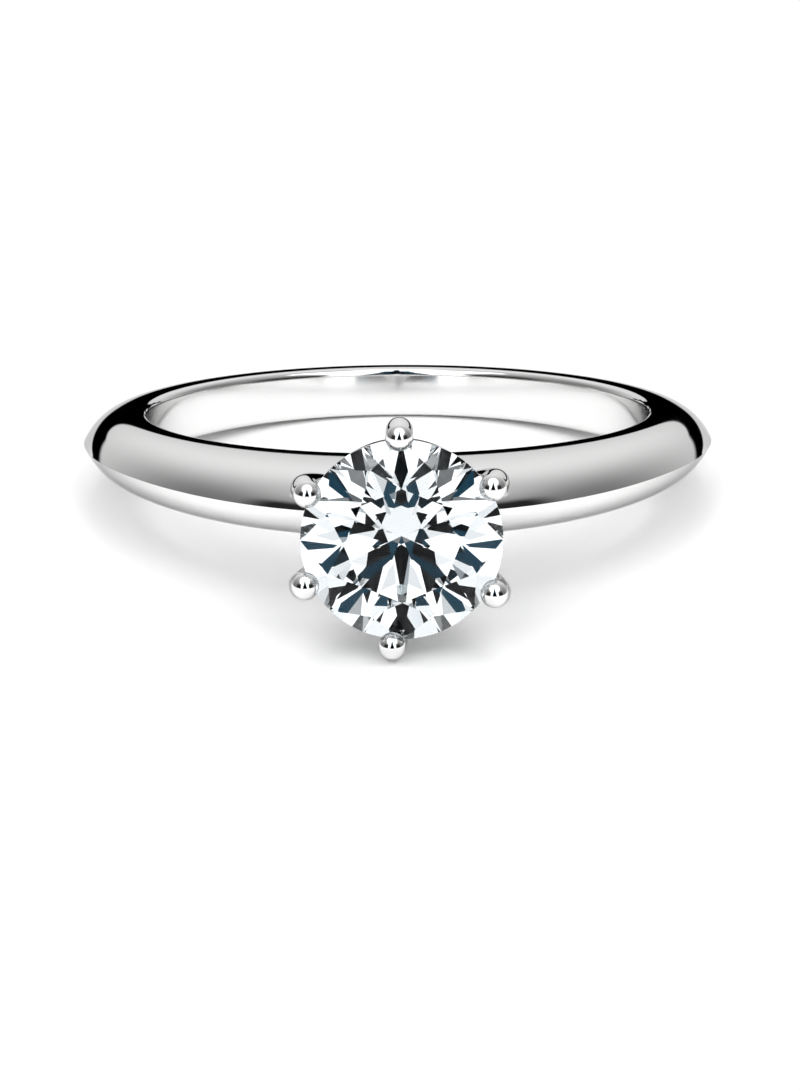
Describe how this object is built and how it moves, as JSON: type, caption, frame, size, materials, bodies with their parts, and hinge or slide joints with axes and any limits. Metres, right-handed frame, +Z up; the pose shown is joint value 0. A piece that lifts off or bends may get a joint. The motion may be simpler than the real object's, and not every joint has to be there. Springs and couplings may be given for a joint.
{
  "type": "engagement ring",
  "caption": "Solitaire ring: polished band with a crest round its middle, which rises to a wire head with a claw-set round brilliant, lying as it rests on a table.",
  "frame": {"origin": "centre of the bounding box's footprint, on the surface that the ring lies on", "axes": "+Z up; the head and the stone's table face -Y and tip up a little; +X to the right when looking at the stone"},
  "size_m": [0.0208, 0.0278, 0.0077],
  "materials": {
    "platinum": "mirror polished white precious metal",
    "diamond": "clear, polished facets"
  },
  "bodies": {
    "root": {"shank": "platinum", "head_collar": "platinum", "gallery_rail": "platinum", "claw_1": "platinum", "claw_2": "platinum", "claw_3": "platinum", "claw_4": "platinum", "claw_5": "platinum", "claw_6": "platinum", "diamond": "diamond"}
  },
  "joints": []
}
